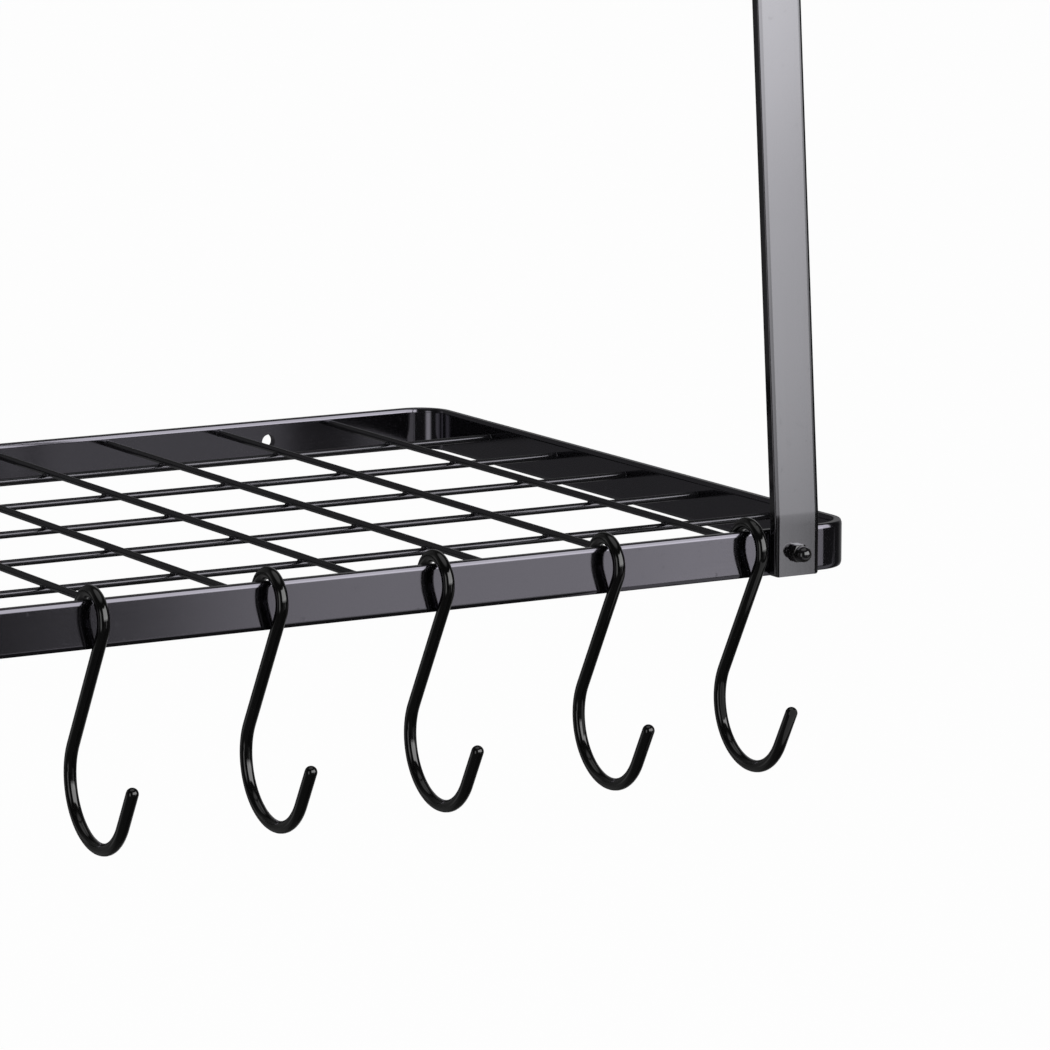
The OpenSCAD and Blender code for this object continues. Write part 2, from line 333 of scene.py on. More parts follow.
# Each finish: scales of its cloud, grain and peel, how far they shade and roughen it, its bump,
# and its clear coat
BAR_LOOK = {
    "cloud": 14.0, "grain": 1.0, "stretch": (9.0, 9.0, 1100.0), "peel": 1300.0, "grain_share": 0.3,
    "spread": 0.09, "speck": 0.12, "rough": 0.105, "rough_cloud": 0.03, "rough_grain": 0.03,
    "grain_height": 0.5, "bump": 0.05, "bump_height": 0.00003, "metallic": 0.985,
    "coat": 0.0, "coat_rough": 0.1,
}
STRAP_LOOK = {**BAR_LOOK, "stretch": (1100.0, 9.0, 9.0), "spread": 0.11}
WIRE_LOOK = {
    **BAR_LOOK, "cloud": 30.0, "stretch": (220.0, 220.0, 220.0), "spread": 0.22, "rough": 0.15,
    "metallic": 0.9, "bump": 0.03,
}
WELD_LOOK = {**WIRE_LOOK, "rough": 0.40, "spread": 0.4, "bump": 0.5, "bump_height": 0.0001}
HOOK_LOOK = {
    **BAR_LOOK, "cloud": 45.0, "stretch": (260.0, 260.0, 260.0), "spread": 0.3, "speck": 0.3,
    "rough": 0.10, "rough_cloud": 0.04, "metallic": 0.0, "bump": 0.03,
    "coat": 0.6, "coat_rough": 0.05,
}
FASTENER_LOOK = {
    **HOOK_LOOK, "cloud": 160.0, "stretch": (500.0, 500.0, 500.0), "coat": 1.0,
}


# Meshes


# Points of a path closer than this are one
SAME_PLACE = 0.00001
# Points of a swept rod closer than this are merged, which closes its tips
MERGE_DISTANCE = 0.000002
# End corner of a closed ring, which has no ends
NO_ROUNDING = 0.000001
# Steps round the shoulder and the edge of a flat bar
SHOULDER_STEPS = 5
EDGE_STEPS = 5
DRILL_FACES = 48
SHARP_ANGLE = math.radians(50.0)
# Smallest and largest weld bead against the middle one
BEAD_RANGE = (0.88, 1.10)


def bend(corners, step=math.radians(3.0)):
    """Points of a path in the X-Y plane through corners (x, y, bend radius); the ends have none."""
    points = [Vector(corners[0][:2])]
    for before, corner, after in zip(corners, corners[1:], corners[2:]):
        arc = round_corner(Vector(before[:2]), corner, Vector(after[:2]), step)
        points += arc[1:] if (arc[0] - points[-1]).length < SAME_PLACE else arc
    points.append(Vector(corners[-1][:2]))
    return points


def round_corner(before, corner, after, step):
    """Points of the arc that rounds one corner of a path."""
    at = Vector(corner[:2])
    inward, outward = (at - before).normalized(), (after - at).normalized()
    turn = inward.angle_signed(outward) * -1.0
    reach = corner[2] * math.tan(abs(turn) / 2)
    side = Vector((-inward.y, inward.x)) * math.copysign(1.0, turn)
    centre = at - inward * reach + side * corner[2]
    spoke = -side * corner[2]
    count = max(2, math.ceil(abs(turn) / step))
    return [
        centre + Matrix.Rotation(turn * k / count, 2) @ spoke for k in range(count + 1)
    ]


def end_stations(start, towards, radius, count=8):
    """Points from a path's end inwards, closer together where the end is rounded."""
    along = (towards - start).normalized()
    return [
        start + along * radius * (1 - math.cos(math.pi / 2 * k / count)) for k in range(1, count + 1)
    ]


def path_curve(name, points, cyclic=False):
    """A poly curve in the X-Y plane."""
    data = bpy.data.curves.new(name, "CURVE")
    data.dimensions = "3D"
    spline = data.splines.new("POLY")
    spline.points.add(len(points) - 1)
    for place, point in zip(points, spline.points):
        point.co = (place.x, place.y, 0.0, 1.0)
    spline.use_cyclic_u = cyclic
    return data


def bar_section(bar, width, thickness):
    """Curve object of a flat bar's section, with a soft shoulder before each tight edge."""
    turn, soft, tight = bar.shoulder_turn, bar.shoulder_radius, bar.edge_radius
    edge = Vector((thickness / 2 - soft + (soft - tight) * math.cos(turn), width / 2 - tight))
    shoulder = Vector((thickness / 2 - soft, edge.y - (soft - tight) * math.sin(turn)))
    left = math.pi / 2 - turn
    corner = [
        shoulder + spoke(soft, turn * k / SHOULDER_STEPS) for k in range(SHOULDER_STEPS + 1)
    ]
    corner += [edge + spoke(tight, turn + left * k / EDGE_STEPS) for k in range(1, EDGE_STEPS + 1)]
    flips = (((1, 1), 1), ((-1, 1), -1), ((-1, -1), 1), ((1, -1), -1))
    points = [Vector(flip) * point for flip, order in flips for point in corner[::order]]
    section = bpy.data.objects.new("bar_section", path_curve("bar_section", points, cyclic=True))
    bpy.context.scene.collection.objects.link(section)
    return section


def spoke(radius, angle):
    """Vector from an arc's centre to its point at an angle."""
    return Vector((radius * math.cos(angle), radius * math.sin(angle)))


def new_tree(name, inputs):
    """A Geometry Nodes tree with named inputs: its bench, its inputs as plugs, and the tree."""
    tree = bpy.data.node_groups.new(name, "GeometryNodeTree")
    tree.interface.new_socket(name="Geometry", in_out="INPUT", socket_type="NodeSocketGeometry")
    for label, kind in inputs.items():
        tree.interface.new_socket(name=label, in_out="INPUT", socket_type=kind)
    tree.interface.new_socket(name="Geometry", in_out="OUTPUT", socket_type="NodeSocketGeometry")
    bench = Bench(tree)
    group = bench.node("NodeGroupInput")
    plugs = {s.name: Plug(bench, s) for s in group.outputs if s.name}
    return bench, plugs, tree


def close_tree(bench, geometry, material):
    """Ends a tree in smooth faces, Realize Instances and Set Material."""
    smooth = bench.plug("GeometryNodeSetShadeSmooth", values={"Geometry": geometry})
    real = bench.plug("GeometryNodeRealizeInstances", values={"Geometry": smooth})
    dressed = bench.plug(
        "GeometryNodeSetMaterial", values={"Geometry": real, "Material": material}
    )
    bench.node("NodeGroupOutput", values={"Geometry": dressed})


def run_tree(name, tree, base, values):
    """Runs a tree on a base curve or mesh, and returns the result as a plain mesh object."""
    maker = bpy.data.objects.new(name + "_base", base)
    bpy.context.scene.collection.objects.link(maker)
    modifier = maker.modifiers.new("Shape", "NODES")
    modifier.node_group = tree
    identifiers = {
        item.name: item.identifier
        for item in tree.interface.items_tree
        if item.in_out == "INPUT"
    }
    for label, value in values.items():
        modifier[identifiers[label]] = value
    return bake(name, maker)


def bake(name, maker):
    """Turns an object with modifiers into a plain mesh object at the origin."""
    bpy.context.view_layer.update()
    graph = bpy.context.evaluated_depsgraph_get()
    mesh = bpy.data.meshes.new_from_object(maker.evaluated_get(graph), depsgraph=graph)
    mesh.name = name
    if mesh.materials and mesh.materials[0] is None:
        mesh.materials.pop(index=0)
    bpy.data.objects.remove(maker)
    piece = bpy.data.objects.new(name, mesh)
    bpy.context.scene.collection.objects.link(piece)
    return piece


FLOAT, WHOLE, VECTOR, FINISH, OBJECT = (
    "NodeSocketFloat", "NodeSocketInt", "NodeSocketVector", "NodeSocketMaterial",
    "NodeSocketObject",
)


def end_distance(bench):
    """Distance of a curve's point from the nearer end."""
    so_far = bench.plug("GeometryNodeSplineParameter", "Length")
    whole = bench.plug("GeometryNodeSplineLength", "Length")
    return bench.math("MINIMUM", so_far, whole - so_far)


def rounding(bench, distance, radius):
    """Share of a rounding of this radius that is reached at a distance from its end."""
    share = 1 - bench.math("MINIMUM", distance / radius, 1.0)
    return bench.math("SQRT", bench.math("MAXIMUM", 1 - share * share, 0.0))


def flat_bar_tree():
    """Flat bar swept along a path in the X-Y plane, its two cut ends with rounded corners."""
    bench, given, tree = new_tree(
        "Flat bar along a path",
        {
            "Section": OBJECT, "Width": FLOAT, "End Corner": FLOAT, "Turn": VECTOR,
            "Place": VECTOR, "Finish": FINISH,
        },
    )
    upright = bench.plug(
        "GeometryNodeSetCurveNormal", settings={"mode": "Z_UP"}, values={"Curve": given["Geometry"]}
    )
    kept = bench.node("GeometryNodeCaptureAttribute", settings={"domain": "POINT"})
    kept.capture_items.new("FLOAT", "End Distance")
    bench.tree.links.new(upright.socket, kept.inputs[0])
    bench.tree.links.new(end_distance(bench).socket, kept.inputs[1])
    section = bench.plug(
        "GeometryNodeObjectInfo", "Geometry", values={"Object": given["Section"]}
    )
    swept = bench.plug(
        "GeometryNodeCurveToMesh",
        values={"Curve": Plug(bench, kept.outputs[0]), "Profile Curve": section, "Fill Caps": True},
    )
    place = bench.plug("GeometryNodeInputPosition")
    parts = bench.node("ShaderNodeSeparateXYZ", values={0: place})
    across = Plug(bench, parts.outputs[2])
    share = rounding(bench, Plug(bench, kept.outputs[1]), given["End Corner"])
    room = given["Width"] * 0.5 - given["End Corner"] + given["End Corner"] * share
    limited = bench.math("MAXIMUM", bench.math("MINIMUM", across, room), room * -1.0)
    squeezed = bench.plug(
        "ShaderNodeCombineXYZ",
        values={0: Plug(bench, parts.outputs[0]), 1: Plug(bench, parts.outputs[1]), 2: limited},
    )
    shaped = bench.plug(
        "GeometryNodeSetPosition", values={"Geometry": swept, "Position": squeezed}
    )
    moved = bench.plug(
        "GeometryNodeTransform",
        values={"Geometry": shaped, "Translation": given["Place"], "Rotation": given["Turn"]},
    )
    close_tree(bench, moved, given["Finish"])
    return tree


def rod_tree():
    """Round rod swept along a path in the X-Y plane, with half-round ends."""
    bench, given, tree = new_tree(
        "Round rod along a path",
        {"Diameter": FLOAT, "Sides": WHOLE, "Turn": VECTOR, "Place": VECTOR, "Finish": FINISH},
    )
    radius = given["Diameter"] * 0.5
    taper = rounding(bench, end_distance(bench), radius)
    section = bench.plug(
        "GeometryNodeCurvePrimitiveCircle",
        values={"Resolution": given["Sides"], "Radius": radius},
    )
    swept = bench.plug(
        "GeometryNodeCurveToMesh",
        values={
            "Curve": given["Geometry"], "Profile Curve": section, "Scale": taper,
            "Fill Caps": True,
        },
    )
    merged = bench.plug(
        "GeometryNodeMergeByDistance", values={"Geometry": swept, "Distance": MERGE_DISTANCE}
    )
    moved = bench.plug(
        "GeometryNodeTransform",
        values={"Geometry": merged, "Translation": given["Place"], "Rotation": given["Turn"]},
    )
    close_tree(bench, moved, given["Finish"])
    return tree


def wire_row_tree():
    """A row of straight wires, an even pitch apart."""
    bench, given, tree = new_tree(
        "Row of wires",
        {
            "Count": WHOLE, "Start": VECTOR, "Pitch": VECTOR, "Length": FLOAT, "Diameter": FLOAT,
            "Sides": WHOLE, "Turn": VECTOR, "Finish": FINISH,
        },
    )
    half = given["Length"] * 0.5
    ends = [
        bench.plug("ShaderNodeCombineXYZ", values={0: half * sign}) for sign in (-1.0, 1.0)
    ]
    line = bench.plug("GeometryNodeCurvePrimitiveLine", values={"Start": ends[0], "End": ends[1]})
    section = bench.plug(
        "GeometryNodeCurvePrimitiveCircle",
        values={"Resolution": given["Sides"], "Radius": given["Diameter"] * 0.5},
    )
    wire = bench.plug(
        "GeometryNodeCurveToMesh",
        values={"Curve": line, "Profile Curve": section, "Fill Caps": True},
    )
    turned = bench.plug(
        "GeometryNodeTransform", values={"Geometry": wire, "Rotation": given["Turn"]}
    )
    places = bench.plug(
        "GeometryNodeMeshLine",
        values={
            "Count": given["Count"], "Start Location": given["Start"], "Offset": given["Pitch"],
        },
    )
    row = bench.plug(
        "GeometryNodeInstanceOnPoints", values={"Points": places, "Instance": turned}
    )
    close_tree(bench, row, given["Finish"])
    return tree


def weld_tree():
    """A flattened bead of weld, a little uneven, on every point of the base mesh."""
    bench, given, tree = new_tree(
        "Weld beads", {"Bead": VECTOR, "Seed": WHOLE, "Finish": FINISH}
    )
    bead = bench.plug(
        "GeometryNodeMeshUVSphere", values={"Segments": 10, "Rings": 6, "Radius": 1.0}
    )
    size = bench.plug(
        "FunctionNodeRandomValue", 1,
        settings={"data_type": "FLOAT"},
        values={2: BEAD_RANGE[0], 3: BEAD_RANGE[1], "Seed": given["Seed"]},
    )
    scale = bench.plug(
        "ShaderNodeVectorMath",
        settings={"operation": "SCALE"}, values={0: given["Bead"], "Scale": size},
    )
    beads = bench.plug(
        "GeometryNodeInstanceOnPoints",
        values={"Points": given["Geometry"], "Instance": bead, "Scale": scale},
    )
    close_tree(bench, beads, given["Finish"])
    return tree


def point_mesh(name, places):
    """A mesh of loose points."""
    mesh = bpy.data.meshes.new(name)
    mesh.from_pydata([tuple(p) for p in places], [], [])
    return mesh


def drill(piece, holes, depth):
    """Cuts round holes along Y, given as (centre, diameter), through a piece."""
    cutter_mesh = bpy.data.meshes.new("drill")
    shape = bmesh.new()
    for centre, width in holes:
        place = Matrix.Translation(centre) @ Euler((math.pi / 2, 0, 0)).to_matrix().to_4x4()
        bmesh.ops.create_cone(
            shape, cap_ends=True, segments=DRILL_FACES, radius1=width / 2, radius2=width / 2,
            depth=depth, matrix=place,
        )
    shape.to_mesh(cutter_mesh)
    shape.free()
    cutter = bpy.data.objects.new("drill", cutter_mesh)
    bpy.context.scene.collection.objects.link(cutter)
    modifier = piece.modifiers.new("Holes", "BOOLEAN")
    modifier.operation, modifier.solver, modifier.object = "DIFFERENCE", "EXACT", cutter
    name = piece.name
    piece.name = name + "_blank"
    drilled = bake(name, piece)
    bpy.data.objects.remove(cutter)
    return drilled


def even_normals(piece):
    """Keeps flat faces flat beside rounded edges, and the rims of holes sharp."""
    piece.data.shade_smooth()
    piece.data.set_sharp_from_angle(angle=SHARP_ANGLE)
    weighted = piece.modifiers.new("Flat faces", "WEIGHTED_NORMAL")
    weighted.keep_sharp = True
    weighted.weight = 100


def install(piece, body, nodes):
    """Puts a finished piece on its body, in place of its CAD nodes."""
    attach(piece, body)
    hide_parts(*nodes)


def six_sided(angle, flats):
    """Distance from the centre of a hexagon to its outline."""
    sector = math.pi / 3
    return flats / 2 / math.cos((angle % sector) - sector / 2)


def turned_shell(shape, rings, place, segments=72):
    """Closed shell of rings round Z, each (height, round radius, hexagon's width or 0).

    Where a ring has both, it takes the smaller at each angle, as a hexagon with turned corners.
    """
    loops = []
    for height, radius, flats in rings:
        loop = []
        for step in range(segments):
            angle = math.tau * step / segments
            reach = min(radius, six_sided(angle, flats)) if flats else radius
            spot = Vector((reach * math.cos(angle), reach * math.sin(angle), height))
            loop.append(shape.verts.new(place @ spot))
        loops.append(loop)
    for lower, upper in zip(loops, loops[1:]):
        for k in range(segments):
            n = (k + 1) % segments
            shape.faces.new((lower[k], lower[n], upper[n], upper[k]))
    shape.faces.new(loops[0])
    shape.faces.new(loops[-1])


def arc_rings(centre, radius, start, stop, count, base=0.0):
    """Rings of a turned arc: (height, radius, 0) from one angle above the level to another."""
    angles = (start + (stop - start) * k / count for k in range(count + 1))
    return [
        (centre + radius * math.sin(a), base + radius * math.cos(a), 0) for a in angles
    ]


def shell_piece(name, places, rings, finish):
    """One piece with a turned shell at each place, its faces outwards."""
    shape = bmesh.new()
    for place in places:
        turned_shell(shape, rings, place)
    bmesh.ops.recalc_face_normals(shape, faces=shape.faces)
    mesh = bpy.data.meshes.new(name)
    shape.to_mesh(mesh)
    shape.free()
    mesh.materials.append(finish)
    piece = bpy.data.objects.new(name, mesh)
    bpy.context.scene.collection.objects.link(piece)
    return piece


# Operators, one for each piece or group of like pieces


class BuildRim(bpy.types.Operator):
    """Bend the shelf's rim from flat bar and drill it"""

    bl_idname = "pot_rack.build_rim"
    bl_label = "Build Rim"

    def execute(self, context):
        sizes = context.scene.pot_rack_bar
        half = sizes.thickness / 2
        low, high = RIM_LOW.xy + Vector((half, half)), RIM_HIGH.xy - Vector((half, half))
        radius = sizes.corner_radius - half
        middle_x = (low.x + high.x) / 2
        corners = [
            (middle_x, low.y, 0.0), (high.x, low.y, radius), (high.x, high.y, radius),
            (low.x, high.y, radius), (low.x, low.y, radius), (middle_x, low.y, 0.0),
        ]
        path = path_curve("rim_path", bend(corners)[:-1], cyclic=True)
        finish = coated_metal("graphite_rim", sizes.tint, BAR_LOOK)
        height = RIM_HIGH.z - RIM_LOW.z
        section = bar_section(sizes, height, sizes.thickness)
        piece = run_tree("rim_bar", flat_bar_tree(), path, {
            "Section": section, "Width": height, "End Corner": NO_ROUNDING,
            "Turn": (0.0, 0.0, 0.0), "Place": (0.0, 0.0, 0.0), "Finish": finish,
        })
        bpy.data.objects.remove(section)
        screw = sizes.screw_spacing / 2
        bolt = middle("strap_right").x
        holes = [(Vector((s * screw, -half, 0.0)), sizes.screw_hole) for s in (-1, 1)]
        holes += [(Vector((s * bolt, low.y, 0.0)), sizes.bolt_hole) for s in (-1, 1)]
        piece = drill(piece, holes, sizes.thickness * 3)
        even_normals(piece)
        install(piece, "rack", ["shelf_rim"])
        return {"FINISHED"}


class BuildStraps(bpy.types.Operator):
    """Bend the two straps from the front rail back to the wall"""

    bl_idname = "pot_rack.build_straps"
    bl_label = "Build Straps"

    def execute(self, context):
        sizes, bar = context.scene.pot_rack_strap, context.scene.pot_rack_bar
        finish = coated_metal("graphite_strap", sizes.tint, STRAP_LOOK)
        tree = flat_bar_tree()
        half = sizes.thickness / 2
        front, back = STRAP_LOW.y + half, STRAP_HIGH.y - half
        run = STRAP_HIGH.z - sizes.tab_length - sizes.tab_bend
        foot_corner = RIM_HIGH.z + sizes.foot_height + sizes.foot_bend * math.tan(sizes.lean / 2)
        sweep_y = front + (run - foot_corner) * math.tan(sizes.lean)
        bottom, top = Vector((front, STRAP_LOW.z)), Vector((back, STRAP_HIGH.z))
        corners = [
            (*bottom, 0.0), (front, foot_corner, sizes.foot_bend), (sweep_y, run, sizes.sweep_radius),
            (back, run, sizes.tab_bend), (*top, 0.0),
        ]
        points = bend(corners)
        low_end = end_stations(bottom, points[1], sizes.end_corner)
        high_end = end_stations(top, points[-2], sizes.end_corner)
        points = [bottom, *low_end, *points[1:-1], *reversed(high_end), top]
        width = STRAP_HIGH.x - STRAP_LOW.x
        section = bar_section(bar, width, sizes.thickness)
        for side in ("left", "right"):
            centre = middle("strap_" + side).x
            path = path_curve("strap_path", points)
            piece = run_tree("strap_bar_" + side, tree, path, {
                "Section": section, "Width": width, "End Corner": sizes.end_corner,
                "Turn": (math.pi / 2, 0.0, math.pi / 2), "Place": (centre, 0.0, 0.0),
                "Finish": finish,
            })
            tab_hole = STRAP_HIGH.z - sizes.tab_hole_drop
            holes = [
                (Vector((centre, front, 0.0)), bar.bolt_hole),
                (Vector((centre, back, tab_hole)), bar.screw_hole),
            ]
            piece = drill(piece, holes, sizes.thickness * 2)
            even_normals(piece)
            install(piece, "rack", ["strap_" + side])
        bpy.data.objects.remove(section)
        return {"FINISHED"}


class BuildGrid(bpy.types.Operator):
    """Lay the long and the cross wires, and weld them"""

    bl_idname = "pot_rack.build_grid"
    bl_label = "Build Grid"

    # Height of a bead, and depth of a collar, against their radius
    BEAD_HEIGHT = 0.7
    COLLAR_DEPTH = 0.35

    def execute(self, context):
        sizes = context.scene.pot_rack_wire
        finish = coated_metal("dark_wire_coat", sizes.tint, WIRE_LOOK)
        tree = wire_row_tree()
        rows = (
            ("long_wires", LONG_WIRES, 0, (0.0, 0.0, 0.0)),
            ("cross_wires", CROSS_WIRES, 1, (0.0, 0.0, math.pi / 2)),
        )
        for name, nodes, along, turn in rows:
            start, last = middle(nodes[0]), middle(nodes[-1])
            piece = run_tree(name, tree, point_mesh(name, []), {
                "Count": len(nodes), "Start": start, "Pitch": (last - start) / (len(nodes) - 1),
                "Length": extent(nodes[0])[along], "Diameter": sizes.diameter,
                "Sides": sizes.sides, "Turn": turn, "Finish": finish,
            })
            even_normals(piece)
            install(piece, "rack", nodes)
        self.weld(sizes)
        return {"FINISHED"}

    def weld(self, sizes):
        """Beads where wires cross, and collars where they meet the rim."""
        finish = coated_metal("weld_coat", sizes.tint, WELD_LOOK)
        tree = weld_tree()
        long_places, cross_places = map(
            lambda nodes: [middle(n) for n in nodes], (LONG_WIRES, CROSS_WIRES)
        )
        crossings = [
            (c.x, l.y, (c.z + l.z) / 2) for c in cross_places for l in long_places
        ]
        long_half, cross_half = extent(LONG_WIRES[0]).x / 2, extent(CROSS_WIRES[0]).y / 2
        side_ends = [(s * long_half, l.y, l.z) for l in long_places for s in (-1, 1)]
        rail_ends = [(c.x, c.y + s * cross_half, c.z) for c in cross_places for s in (-1, 1)]
        flat = sizes.collar * self.COLLAR_DEPTH
        rise = sizes.bead * self.BEAD_HEIGHT
        groups = (
            ("weld_beads", crossings, (sizes.bead, sizes.bead, rise)),
            ("weld_collars_side", side_ends, (flat, sizes.collar, sizes.collar)),
            ("weld_collars_rail", rail_ends, (sizes.collar, flat, sizes.collar)),
        )
        for seed, (name, places, bead) in enumerate(groups):
            piece = run_tree(name, tree, point_mesh(name, places), {
                "Bead": bead, "Seed": seed, "Finish": finish,
            })
            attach(piece, "rack")


class BuildHooks(bpy.types.Operator):
    """Bend the S-hooks, each on its own body"""

    bl_idname = "pot_rack.build_hooks"
    bl_label = "Build Hooks"

    def execute(self, context):
        sizes = context.scene.pot_rack_hook
        finish = coated_metal("gloss_black_hook", sizes.tint, HOOK_LOOK)
        tree = rod_tree()
        points = self.path(sizes)
        for node in HOOKS:
            body = node + "_body"
            piece = run_tree(node + "_rod", tree, path_curve("hook_path", points), {
                "Diameter": sizes.diameter, "Sides": sizes.sides,
                "Turn": (math.pi / 2, 0.0, math.pi / 2), "Place": PIVOTS[body], "Finish": finish,
            })
            install(piece, body, [node])
        return {"FINISHED"}

    def path(self, sizes):
        """Centre line round the upper loop's centre, turned to its rest tilt."""
        small, large, cap = sizes.loop_radius, sizes.bowl_radius, sizes.diameter / 2
        low, tip_x = -sizes.shank - large, -small - 2 * large
        start = Vector((small, -sizes.tail - cap))
        finish = Vector((tip_x, sizes.tip - sizes.shank + cap))
        corners = [
            (*start, 0.0), (small, small, small), (-small, small, small),
            (-small, low, large), (tip_x, low, large), (*finish, 0.0),
        ]
        points = bend(corners, math.radians(4.0))
        first = end_stations(start, points[1], cap)
        last = end_stations(finish, points[-2], cap)
        points = [start, *first, *points[1:-1], *reversed(last), finish]
        turn = Matrix.Rotation(sizes.tilt, 2)
        return [turn @ p for p in points]


class BuildFasteners(bpy.types.Operator):
    """Turn the bolts and the cap nuts that hold the straps"""

    bl_idname = "pot_rack.build_fasteners"
    bl_label = "Build Fasteners"

    NEAR_POLE = math.radians(89.0)
    ROUNDING = 0.00025

    def execute(self, context):
        sizes = context.scene.pot_rack_fastener
        finish = coated_metal("black_fastener_coat", sizes.tint, FASTENER_LOOK)
        centres = [middle("strap_left").x, middle("strap_right").x]
        nut_face, bolt_low, bolt_high = (
            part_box("cap_nuts")[1].y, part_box("strap_bolts")[0].y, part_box("strap_bolts")[1].y
        )
        outwards = Euler((math.pi / 2, 0.0, 0.0)).to_matrix().to_4x4()
        inwards = Euler((-math.pi / 2, 0.0, 0.0)).to_matrix().to_4x4()
        nuts = shell_piece(
            "cap_nut_pair", [Matrix.Translation((x, nut_face, 0.0)) @ outwards for x in centres],
            self.nut_rings(sizes), finish,
        )
        under_head = bolt_high - sizes.head_height
        bolts = shell_piece(
            "bolt_pair", [Matrix.Translation((x, under_head, 0.0)) @ inwards for x in centres],
            self.bolt_rings(sizes, under_head - bolt_low), finish,
        )
        for piece, node in ((nuts, "cap_nuts"), (bolts, "strap_bolts")):
            even_normals(piece)
            install(piece, "rack", [node])
        return {"FINISHED"}

    def nut_rings(self, sizes):
        """Hexagon whose corners are turned to a cone, which ends at the dome."""
        flats, cut, dome = sizes.nut_flats, sizes.nut_chamfer, sizes.dome / 2
        corner = flats / 2 / math.cos(math.pi / 6)
        cone_foot, cone_height, steps = sizes.hexagon_height - cut, (corner - dome) / 2, 5
        cone = [
            (cone_foot + cone_height * k / steps, corner - 2 * cone_height * k / steps, flats)
            for k in range(steps + 1)
        ]
        ball = arc_rings(sizes.nut_height - dome, dome, 0.0, self.NEAR_POLE, 14)
        return [(0.0, corner - cut / 2, flats), (cut / 2, corner, flats), *cone, *ball]

    def bolt_rings(self, sizes, reach):
        """Shank, rounded button head and hexagon socket."""
        shank, head, soft = sizes.shank / 2, sizes.head / 2, self.ROUNDING
        rim, crown = sizes.head_height / 4, sizes.head_height * 3 / 4
        ball = (head * head + crown * crown) / (2 * crown)
        centre = sizes.head_height - ball
        mouth = sizes.socket_flats / 2 / math.cos(math.pi / 6) + soft
        start, stop = math.asin((rim - centre) / ball), math.acos(mouth / ball)
        top = centre + math.sqrt(ball * ball - mouth * mouth)
        floor = sizes.head_height - sizes.socket_depth
        return [
            (-reach, shank - soft, 0), (-reach + soft, shank, 0), (0.0, shank, 0),
            (0.0, head - soft, 0), (soft, head, 0),
            *arc_rings(centre, ball, start, stop, 10),
            (top - soft, mouth, sizes.socket_flats), (floor, mouth, sizes.socket_flats),
        ]


